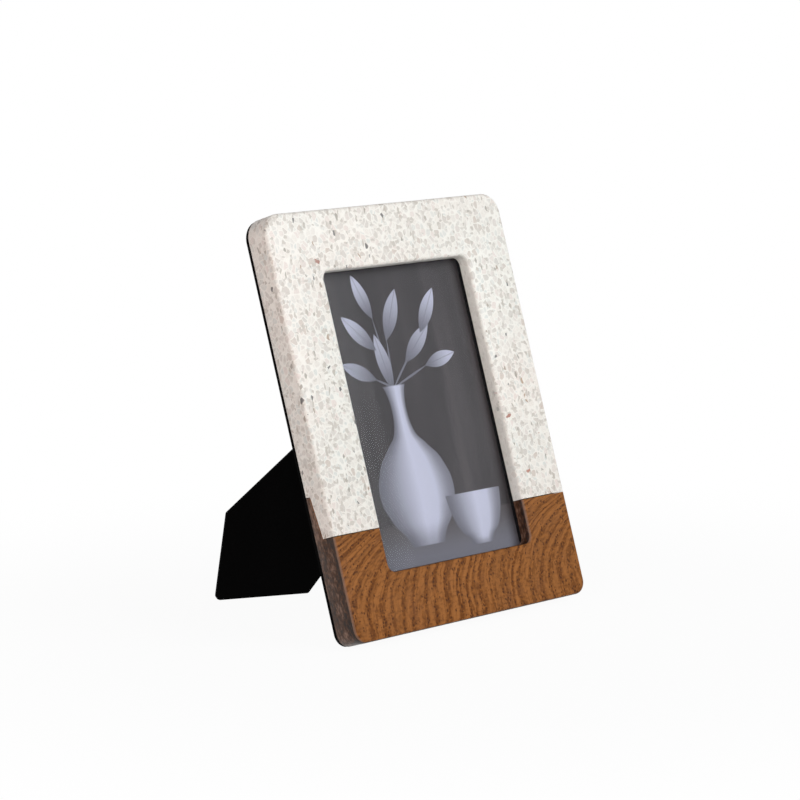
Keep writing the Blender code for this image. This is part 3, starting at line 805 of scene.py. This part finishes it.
def print_finish(looks):
    """A still life in greys: a vase with a leafy twig and a bowl on a table before a dark curtain."""
    finish = Finish("still_life_print", Specular_IOR_Level=0.1)
    ground = looks.ground
    middle = looks.middle
    pale = looks.pale
    x, _, z = finish.parts(finish.place)
    folds = finish.clouds(1.0, 2.0, finish.stretched(70.0, 1.0, 5.0))
    sheet = finish.ramp(folds, [(0.30, tone(ground, 0.80)), (0.52, ground), (0.72, tone(ground, 1.5))])
    table = finish.ease(z, *TABLE_EDGE)
    sheet = finish.mix(table, sheet, finish.mix(finish.ease(z, *TABLE_SHADE), middle, tone(ground, 1.7)))

    mouth = Vector(VASE_MOUTH)
    for centre, half_length, _, turn in TWIG:
        heading = Vector((math.cos(math.radians(turn)), math.sin(math.radians(turn))))
        stalk = Vector(centre) - heading * half_length * 0.9 - mouth
        lean = math.atan2(stalk.y, stalk.x)
        mask, _, _ = leaf(finish, mouth + stalk / 2, stalk.length / 2 + STALK_OVERLAP, STALK_HALF, lean)
        sheet = finish.mix(mask, sheet, tone(middle, 0.9))
    for number, (centre, half_length, half_width, turn) in enumerate(TWIG):
        mask, along, rib = leaf(finish, centre, half_length, half_width, math.radians(turn))
        light = blend(middle, pale, 0.85 if number % 2 else 0.6)
        shade = finish.mix(finish.ease(along, -1.0, 0.8), tone(middle, 0.75), light)
        shade = finish.mix(finish.times(rib, 0.5), shade, middle)
        sheet = finish.mix(mask, sheet, shade)
    glaze = [(0.0, tone(middle, 0.8)), (0.22, blend(middle, pale, 0.45)), (0.55, pale),
             (0.85, tone(pale, 0.95)), (1.0, middle)]
    for centre, low, high, widest, points in POTS:
        mask, side, up = outline_of(finish, centre, low, high, widest, points)
        shade = finish.ramp(finish.ease(side, -1.0, 1.0), glaze)
        shade = finish.mix(finish.ease(up, 0.16, 0.0, 0.0, 0.55), shade, tone(middle, 0.7))
        sheet = finish.mix(mask, sheet, shade)
    # Painted shadow line: a black margin round the image, which shows as a dark line along the lip
    off_side = finish.minus(finish.math("ABSOLUTE", x), PICTURE_HALF[0])
    off_end = finish.minus(finish.math("ABSOLUTE", finish.minus(z, PICTURE_MIDDLE)), PICTURE_HALF[1])
    shadow_line_margin = finish.ease(finish.math("MAXIMUM", off_side, off_end), 0.0004, 0.0010)
    sheet = finish.mix(shadow_line_margin, sheet, tone(ground, 0.03))
    speck = finish.clouds(5200.0, 1.0)
    sheet = finish.mix(finish.ease(speck, 0.35, 0.65, 0.0, 0.05), sheet, pale)
    finish.paint("Base Color", sheet)
    finish.paint("Roughness", finish.ease(speck, 0.3, 0.7, 0.48, 0.62))
    return finish.material


def card_finish(looks):
    """Grey-brown card with fibres."""
    finish = Finish("backing_card")
    fibres = finish.clouds(1.0, 3.0, finish.stretched(900.0, 900.0, 160.0))
    flecks = finish.clouds(1400.0, 1.0)
    surface = finish.mix(fibres, tone(looks.card, 0.82), tone(looks.card, 1.15))
    surface = finish.mix(finish.ease(flecks, 0.66, 0.74), surface, tone(looks.card, 0.55))
    finish.paint("Base Color", surface)
    finish.paint("Roughness", finish.ease(fibres, 0.3, 0.7, 0.80, 0.95))
    finish.bump(fibres, 0.00005, 0.5)
    return finish.material


def flock_finish(looks):
    """Black flocked paper over board: a short nap that lies in faint patches."""
    finish = Finish("black_flock", Specular_IOR_Level=0.04)
    nap = finish.clouds(3600.0, 2.0)
    brushed = finish.clouds(60.0, 3.0, finish.stretched(1.0, 1.0, 0.35))
    tips = finish.times(finish.ease(nap, 0.42, 0.75), finish.ease(brushed, 0.25, 0.75, 0.35, 1.0))
    finish.paint("Base Color", finish.mix(tips, looks.nap, looks.nap_light))
    finish.paint("Roughness", finish.ease(nap, 0.3, 0.7, 0.90, 1.0))
    finish.bump(nap, 0.00012, 0.7)
    return finish.material


def plated_finish(looks):
    """Nickel-plated steel with fine scratches and duller patches."""
    finish = Finish("plated_steel", Metallic=1.0)
    scratches = finish.clouds(1.0, 2.0, finish.stretched(4000.0, 300.0, 4000.0))
    dull = finish.clouds(420.0, 3.0)
    surface = finish.mix(finish.ease(dull, 0.35, 0.75), looks.metal, tone(looks.metal, 0.72))
    surface = finish.mix(finish.ease(scratches, 0.55, 0.75, 0.0, 0.3), surface, tone(looks.metal, 1.3))
    finish.paint("Base Color", surface)
    finish.paint("Roughness", finish.ease(dull, 0.3, 0.7, 0.24, 0.42))
    finish.bump(scratches, 0.00001, 0.4)
    return finish.material


FINISHES = {
    "terrazzo": (terrazzo_finish, "terrazzo"),
    "wood": (wood_finish, "wood"),
    "glass": (glass_finish, "picture"),
    "print": (print_finish, "picture"),
    "card": (card_finish, "picture"),
    "black_board": (flock_finish, "back"),
    "steel": (plated_finish, "back"),
}
MADE_FINISHES = {}


def finish_for(slot, settings):
    """The material of a slot, made the first time that it is asked for."""
    if slot not in MADE_FINISHES:
        make, group = FINISHES[slot]
        MADE_FINISHES[slot] = make(getattr(settings, group))
    return MADE_FINISHES[slot]


def lap_outline(face, raised, far_height):
    """Side view of the lap joint: shoulder, slanting tongue and rounded tip, closed at a far height."""
    shift = GAP / 2 if raised else -GAP / 2
    front = -CUT_MARGIN
    rear = BODY_DEPTH + CUT_MARGIN
    shoulder = face.shoulder_height + shift
    tip = face.tongue_height + shift
    return rounded([(front, far_height, 0), (rear, far_height, 0), (rear, tip, 0),
                    (TONGUE_TIP_DEPTH - shift, tip, TONGUE_ROUND),
                    (SHOULDER_DEPTH - shift, shoulder, 0), (front, shoulder, 0)])


def body_half(face, name, raised, far_height):
    """The ring round the picture, with the pocket behind the lip, cut along the lap joint."""
    middle = face.height / 2
    opening = (face.opening_width, face.opening_height)
    ring = [rectangle((face.width, face.height), face.bottom_corner, face.top_corner, middle),
            rectangle(opening, face.opening_corner, face.opening_corner, middle)]
    piece = face_slab(name, ring, 0.0, BODY_DEPTH + face.edge_round, face.edge_round)
    behind = block("behind", (2 * face.width, 2 * CUT_MARGIN, 2 * face.height),
                   STAND @ Matrix.Translation((0, BODY_DEPTH + CUT_MARGIN, middle)))
    pocket_depth = 2 * (BODY_DEPTH - face.lip_depth)
    pocket = block("pocket", (POCKET_SIZE[0], pocket_depth, POCKET_SIZE[1]),
                   STAND @ Matrix.Translation((0, BODY_DEPTH, middle)))
    side = slab("lap", [lap_outline(face, raised, far_height)], face.width + CUT_MARGIN, STAND @ SIDEWAYS)
    cut(piece, "DIFFERENCE", [behind, pocket, side])
    soften(piece, BODY_SOFTENING)
    return piece


def foot_reach(across):
    """How far down the leg the table lies, at a place across it, when the leg is open."""
    foot = LEG @ Vector((across, 0, LEG_UNDER))
    down = (LEG.to_3x3() @ Vector((0, 1, 0))).z
    return -foot.z / down


class PICTUREFRAME_OT_stage(bpy.types.Operator):
    """Add the camera, the lamps and the pale floor"""
    bl_idname = "picture_frame.add_stage"
    bl_label = "Stage"

    def execute(self, context):
        settings = context.scene.picture_frame
        stage = settings.stage
        scene = context.scene
        scene.view_settings.view_transform = "Standard"
        target = STAND @ Vector((0, 0, settings.face.height / 2))
        self.add_camera(scene, stage, target)
        self.add_lamps(stage, target)
        self.add_world(scene, stage)
        self.add_floor(stage)
        return {"FINISHED"}

    def add_camera(self, scene, stage, target):
        """The camera of the photograph."""
        data = bpy.data.cameras.new("camera")
        data.sensor_width = SENSOR_WIDTH
        data.lens = stage.lens
        data.shift_x, data.shift_y = stage.shift
        data.clip_start = NEAREST_VIEW
        camera = bpy.data.objects.new("camera", data)
        level = math.cos(stage.rise)
        away = Vector((-math.sin(stage.turn) * level, -math.cos(stage.turn) * level, math.sin(stage.rise)))
        camera.location = target + away * stage.distance
        camera.rotation_euler = away.to_track_quat("Z", "Y").to_euler()
        scene.collection.objects.link(camera)
        scene.camera = camera

    def add_lamps(self, stage, target):
        """A large cool key lamp at the right and a large warm lamp at the left."""
        lamps = (("key_lamp", KEY_LAMP_SPOT, stage.key_power, stage.key_colour),
                 ("side_lamp", SIDE_LAMP_SPOT, stage.side_power, stage.fill_colour))
        for name, spot, watts, tint in lamps:
            data = bpy.data.lights.new(name, "AREA")
            data.size = LAMP_SIZE
            data.energy = watts
            data.color = tint
            lamp = bpy.data.objects.new(name, data)
            lamp.location = target + Vector(spot)
            lamp.rotation_euler = Vector(spot).to_track_quat("Z", "Y").to_euler()
            bpy.context.scene.collection.objects.link(lamp)

    def add_world(self, scene, stage):
        """Even light all round, white where the camera or a reflection looks at it."""
        world = bpy.data.worlds.new("studio")
        world.use_nodes = True
        tree = world.node_tree
        light = tree.nodes.new("ShaderNodeMix")
        light.data_type = "RGBA"
        light.inputs[6].default_value = (*tone(stage.fill_colour, stage.fill), 1.0)
        light.inputs[7].default_value = (1.0, 1.0, 1.0, 1.0)
        tree.links.new(seen_directly(tree), light.inputs[0])
        tree.links.new(light.outputs[2], tree.nodes["Background"].inputs["Color"])
        scene.world = world

    def add_floor(self, stage):
        """A wide floor that keeps a soft shadow near the frame and fades to white."""
        work = bmesh.new()
        bmesh.ops.create_grid(work, x_segments=8, y_segments=8, size=FLOOR_HALF)
        floor = put_work("floor", work, Matrix.Identity(4))
        finish = Finish("pale_floor", Base_Color=stage.floor, Roughness=0.9)
        white = finish.node("ShaderNodeEmission", {"Strength": 1.0})
        far = finish.vectors("LENGTH", {0: finish.place}, "Value")
        share = finish.ease(far, *FLOOR_FADE, FLOOR_WHITE_NEAR, 1.0)
        share = finish.times(share, seen_directly(finish.tree))
        layers = {0: share, 1: finish.shader.outputs[0], 2: white.outputs[0]}
        mixed = finish.node("ShaderNodeMixShader", layers)
        finish.feed(finish.tree.nodes["Material Output"].inputs["Surface"], mixed.outputs[0])
        floor.data.materials.append(finish.material)


def seen_directly(tree):
    """1 where the camera, a reflection or a look through glass meets the surface."""
    path = tree.nodes.new("ShaderNodeLightPath")
    total = path.outputs["Is Camera Ray"]
    for name in ("Is Glossy Ray", "Is Transmission Ray"):
        step = tree.nodes.new("ShaderNodeMath")
        step.operation = "MAXIMUM"
        tree.links.new(total, step.inputs[0])
        tree.links.new(path.outputs[name], step.inputs[1])
        total = step.outputs[0]
    return total


class PICTUREFRAME_OT_terrazzo_arch(bpy.types.Operator):
    """Add the cast terrazzo arch that forms the top and the sides of the face"""
    bl_idname = "picture_frame.add_terrazzo_arch"
    bl_label = "Terrazzo arch"

    def execute(self, context):
        settings = context.scene.picture_frame
        piece = body_half(settings.face, "terrazzo_arch", True, -CUT_MARGIN)
        dress(piece, settings, "frame", "terrazzo", "terrazzo_front")
        return {"FINISHED"}


class PICTUREFRAME_OT_wood_foot(bpy.types.Operator):
    """Add the U-shaped wooden base that is lapped behind the terrazzo"""
    bl_idname = "picture_frame.add_wood_foot"
    bl_label = "Wooden base"

    def execute(self, context):
        settings = context.scene.picture_frame
        piece = body_half(settings.face, "wood_foot", False, settings.face.height + CUT_MARGIN)
        dress(piece, settings, "frame", "wood", "wood_base")
        return {"FINISHED"}


class PICTUREFRAME_OT_picture(bpy.types.Operator):
    """Add the glass, the print and the card that lie in the pocket"""
    bl_idname = "picture_frame.add_picture"
    bl_label = "Glass, print and card"

    def execute(self, context):
        settings = context.scene.picture_frame
        pane = (POCKET_SIZE[0] - 2 * POCKET_SLACK, POCKET_SIZE[1] - 2 * POCKET_SLACK)
        glass_front = settings.face.lip_depth + GAP
        print_front = glass_front + GLASS_THICKNESS + GAP
        card_front = print_front + PRINT_THICKNESS + GAP
        layers = (("clear_pane", "glass", "glass_pane", pane, glass_front, GLASS_THICKNESS, GLASS_EDGE),
                  ("still_life", "print", "photo_print", PRINT_SIZE, print_front, PRINT_THICKNESS, 0.0),
                  ("stiff_card", "card", "backing_card", pane, card_front, CARD_THICKNESS, CARD_EDGE))
        for name, slot, node, size, front, thickness, edge_round in layers:
            loop = rectangle(size, SHEET_CORNER, SHEET_CORNER, settings.face.height / 2)
            piece = face_slab(name, [loop], front, thickness, edge_round)
            dress(piece, settings, "frame", slot, node)
        return {"FINISHED"}


class PICTUREFRAME_OT_back_boards(bpy.types.Operator):
    """Add the black back board with its window, and the loose panel that closes it"""
    bl_idname = "picture_frame.add_back_boards"
    bl_label = "Back boards"

    def execute(self, context):
        settings = context.scene.picture_frame
        face = settings.face
        middle = face.height / 2
        outer = (face.width - 2 * BOARD_INSET, face.height - 2 * BOARD_INSET)
        panel = (WINDOW_SIZE[0] - 2 * POCKET_SLACK, WINDOW_SIZE[1] - 2 * POCKET_SLACK)
        ring = [rectangle(outer, face.bottom_corner, face.top_corner, middle),
                rectangle(WINDOW_SIZE, WINDOW_CORNER, WINDOW_CORNER, middle)]
        loose = [rectangle(panel, PANEL_CORNER, PANEL_CORNER, middle)]
        for name, node, loops in (("board_ring", "back_frame", ring), ("board_panel", "back_panel", loose)):
            piece = face_slab(name, loops, BOARD_FRONT, BOARD_THICKNESS, BOARD_EDGE)
            dress(piece, settings, "frame", "black_board", node)
        return {"FINISHED"}


class PICTUREFRAME_OT_easel_leg(bpy.types.Operator):
    """Add the tapered easel leg with its pointed foot"""
    bl_idname = "picture_frame.add_easel_leg"
    bl_label = "Easel leg"

    def execute(self, context):
        settings = context.scene.picture_frame
        corner = LEG_CORNER_ROUND
        outline = rounded([(-LEG_HINGE_HALF, LEG_START, corner), (LEG_HINGE_HALF, LEG_START, corner),
                           (LEG_LOW_CORNER_X, foot_reach(LEG_LOW_CORNER_X), corner),
                           (LEG_TIP_X, foot_reach(LEG_TIP_X), LEG_TIP_ROUND), (*LEG_HIGH_CORNER, corner)])
        piece = slab("flocked_leg", [outline], LEG_THICKNESS, LEG, LEG_EDGE)
        piece.data.transform(Matrix.Translation((0, 0, LEG_UNDER + LEG_THICKNESS / 2)))
        dress(piece, settings, "leg", "black_board", "easel_leg")
        return {"FINISHED"}


class PICTUREFRAME_OT_hinge(bpy.types.Operator):
    """Add the two leaves and the pin of the hinge"""
    bl_idname = "picture_frame.add_hinge"
    bl_label = "Hinge"

    def execute(self, context):
        settings = context.scene.picture_frame
        side_start = KNUCKLE_HALF + GAP
        side_length = LEAF_HALF - side_start
        fixed_level = -AXIS_OFF_BOARD + GAP + LEAF_THICKNESS / 2
        outer = LEAF_HALF - NECK_INSET
        inner = side_start + NECK_INSET
        outline = rounded([(-outer, 0, 0), (-LEAF_END_HALF, -LEAF_REACH, LEAF_CORNER),
                           (LEAF_END_HALF, -LEAF_REACH, LEAF_CORNER), (outer, 0, 0),
                           (inner, NECK_INSET, 0), (inner, -LEAF_NOTCH, 0),
                           (-inner, -LEAF_NOTCH, 0), (-inner, NECK_INSET, 0)])
        fixed = slab("leaf_on_panel", [outline], LEAF_THICKNESS, HINGE)
        fixed.data.transform(Matrix.Translation((0, 0, fixed_level)))
        curls = [bar(f"curl_{side}", KNUCKLE_RADIUS, side_length,
                     HINGE @ Matrix.Translation((side * (side_start + side_length / 2), 0, 0)) @ ALONG_PIN)
                 for side in (-1, 1)]
        self.finish_leaf(fixed, curls, HINGE)
        dress(fixed, settings, "frame", "steel", "hinge_fixed_leaf")

        moving_level = LEG_UNDER + LEG_THICKNESS + GAP + LEAF_THICKNESS / 2
        neck = KNUCKLE_HALF - NECK_INSET
        outline = rounded([(-neck, -NECK_INSET, 0), (neck, -NECK_INSET, 0), (neck, LEAF_NOTCH, 0),
                           (LEAF_HALF, LEAF_SHOULDER, 0), (LEAF_END_HALF, LEAF_REACH, LEAF_CORNER),
                           (-LEAF_END_HALF, LEAF_REACH, LEAF_CORNER), (-LEAF_HALF, LEAF_SHOULDER, 0),
                           (-neck, LEAF_NOTCH, 0)])
        moving = slab("leaf_on_leg", [outline], LEAF_THICKNESS, LEG)
        moving.data.transform(Matrix.Translation((0, 0, moving_level)))
        tab_level = fixed_level + LEAF_THICKNESS + GAP
        tab = block("stop_tab", (*STOP_TAB, LEAF_THICKNESS),
                    HINGE @ Matrix.Translation((0, NECK_INSET - STOP_TAB[1] / 2, tab_level)))
        curl = bar("curl", KNUCKLE_RADIUS, 2 * KNUCKLE_HALF, LEG @ ALONG_PIN)
        self.finish_leaf(moving, [curl, tab], LEG)
        dress(moving, settings, "leg", "steel", "hinge_moving_leaf")

        end = LEAF_HALF + GAP
        head_radius, head_thickness = PIN_HEAD
        far = end + head_thickness
        half = [(0, far), (head_radius - PIN_EDGE, far), (head_radius, far - PIN_EDGE),
                (head_radius, end), (PIN_RADIUS, end)]
        profile = half + [(radius, -height) for radius, height in reversed(half)]
        pin = turned("pin", profile, HINGE @ ALONG_PIN)
        dress(pin, settings, "frame", "steel", "hinge_pin")
        return {"FINISHED"}

    def finish_leaf(self, leaf_piece, joined, place):
        """Join the curls to a leaf and bore them for the pin."""
        cut(leaf_piece, "UNION", joined)
        bore = bar("bore", PIN_RADIUS + GAP, 4 * LEAF_HALF, place @ ALONG_PIN)
        cut(leaf_piece, "DIFFERENCE", [bore])
        clear_slivers(leaf_piece)


def domed(head, shank_radius, shank_length):
    """Profile of a domed head over a shank; the seat of the head is at height 0."""
    points = []
    for step in range(DOME_STEPS + 1):
        turn = QUARTER_TURN * step / DOME_STEPS
        points.append((head[0] * math.sin(turn), head[1] * math.cos(turn)))
    return points + [(shank_radius, 0), (shank_radius, -shank_length), (0, -shank_length)]


class PICTUREFRAME_OT_rivets(bpy.types.Operator):
    """Add the rivets that hold the leaves to the panel and to the leg"""
    bl_idname = "picture_frame.add_rivets"
    bl_label = "Rivets"

    def execute(self, context):
        settings = context.scene.picture_frame
        panel_seat = -AXIS_OFF_BOARD + 2 * GAP + LEAF_THICKNESS
        leg_seat = LEG_UNDER + LEG_THICKNESS + 2 * GAP + LEAF_THICKNESS
        holders = (("panel", HINGE, "frame", -RIVET_REACH, panel_seat, BOARD_THICKNESS),
                   ("leg", LEG, "leg", RIVET_REACH, leg_seat, LEG_THICKNESS))
        for name, place, body, reach, seat, board in holders:
            profile = domed(RIVET_HEAD, RIVET_RADIUS, GAP + LEAF_THICKNESS + board)
            for number, side in enumerate((-1, 1), start=1):
                spot = place @ Matrix.Translation((side * RIVET_X, reach, seat))
                rivet = turned(f"domed_rivet_{name}_{number}", profile, spot)
                dress(rivet, settings, body, "steel", f"rivet_{name}_{number}")
        return {"FINISHED"}


class PICTUREFRAME_OT_turn_buttons(bpy.types.Operator):
    """Add the four turn buttons and their screws"""
    bl_idname = "picture_frame.add_turn_buttons"
    bl_label = "Turn buttons"

    def execute(self, context):
        settings = context.scene.picture_frame
        tail = BUTTON_WIDTH / 2
        tip = BUTTON_TIP_WIDTH / 2
        outline = rounded([(-tail, -BUTTON_TAIL, BUTTON_TAIL_ROUND), (tail, -BUTTON_TAIL, BUTTON_TAIL_ROUND),
                           (tip, BUTTON_REACH, BUTTON_TIP_ROUND), (-tip, BUTTON_REACH, BUTTON_TIP_ROUND)])
        seat = 2 * GAP + BUTTON_THICKNESS
        profile = domed(SCREW_HEAD, SCREW_RADIUS, seat + BOARD_THICKNESS + GAP + SCREW_DEPTH)
        for name, turn in (("left", 90), ("right", -90), ("top", 0), ("bottom", 180)):
            spot = Matrix.Translation(JOINTS[f"button_{name}_turn"]["pos_m"])
            tilt = Matrix.Rotation(-LEAN, 4, "X") @ Matrix.Rotation(math.radians(turn), 4, "Y")
            pivot = spot @ tilt @ BACKWARDS
            button = slab(f"button_{name}_plate", [outline], BUTTON_THICKNESS, pivot, BUTTON_EDGE)
            button.data.transform(Matrix.Translation((0, 0, GAP + BUTTON_THICKNESS / 2)))
            cut(button, "DIFFERENCE", [bar("screw_hole", SCREW_RADIUS + GAP, CUT_MARGIN, pivot)])
            dress(button, settings, f"button_{name}", "steel", f"turn_button_{name}")
            screw = turned(f"slotted_screw_{name}", profile, pivot @ Matrix.Translation((0, 0, seat)))
            slot = block("slot", (3 * SCREW_HEAD[0], SCREW_SLOT[0], 2 * SCREW_SLOT[1]),
                         pivot @ Matrix.Translation((0, 0, seat + SCREW_HEAD[1])))
            cut(screw, "DIFFERENCE", [slot])
            dress(screw, settings, "frame", "steel", f"screw_{name}")
        return {"FINISHED"}


OPERATORS = (PICTUREFRAME_OT_stage, PICTUREFRAME_OT_terrazzo_arch, PICTUREFRAME_OT_wood_foot,
             PICTUREFRAME_OT_picture, PICTUREFRAME_OT_back_boards, PICTUREFRAME_OT_easel_leg,
             PICTUREFRAME_OT_hinge, PICTUREFRAME_OT_rivets, PICTUREFRAME_OT_turn_buttons)
GROUPS = ("face", "terrazzo", "wood", "picture", "back", "stage")


class PICTUREFRAME_PT_panel(bpy.types.Panel):
    """Sidebar panel of the picture frame"""
    bl_idname = "PICTUREFRAME_PT_panel"
    bl_label = "Picture frame"
    bl_space_type = "VIEW_3D"
    bl_region_type = "UI"
    bl_category = "Picture frame"

    def draw(self, context):
        layout = self.layout
        for operator in OPERATORS:
            layout.operator(operator.bl_idname)
        settings = context.scene.picture_frame
        for name in GROUPS:
            group = getattr(settings, name)
            box = layout.box()
            box.label(text=name.capitalize())
            for key in group.__annotations__:
                box.prop(group, key)


CLASSES = (FaceSettings, TerrazzoSettings, WoodSettings, PictureSettings, BackSettings, StageSettings,
           PictureFrameSettings, *OPERATORS, PICTUREFRAME_PT_panel)


def register():
    """Make the settings, the operators and the panel known to Blender."""
    for made in CLASSES:
        bpy.utils.register_class(made)
    bpy.types.Scene.picture_frame = PointerProperty(type=PictureFrameSettings)


def unregister():
    """Take the settings, the operators and the panel away again."""
    del bpy.types.Scene.picture_frame
    for made in reversed(CLASSES):
        bpy.utils.unregister_class(made)


def main():
    """Build the stage and every piece."""
    register()
    bpy.ops.picture_frame.add_stage()
    bpy.ops.picture_frame.add_terrazzo_arch()
    bpy.ops.picture_frame.add_wood_foot()
    bpy.ops.picture_frame.add_picture()
    bpy.ops.picture_frame.add_back_boards()
    bpy.ops.picture_frame.add_easel_leg()
    bpy.ops.picture_frame.add_hinge()
    bpy.ops.picture_frame.add_rivets()
    bpy.ops.picture_frame.add_turn_buttons()


if __name__ == "__main__":
    main()
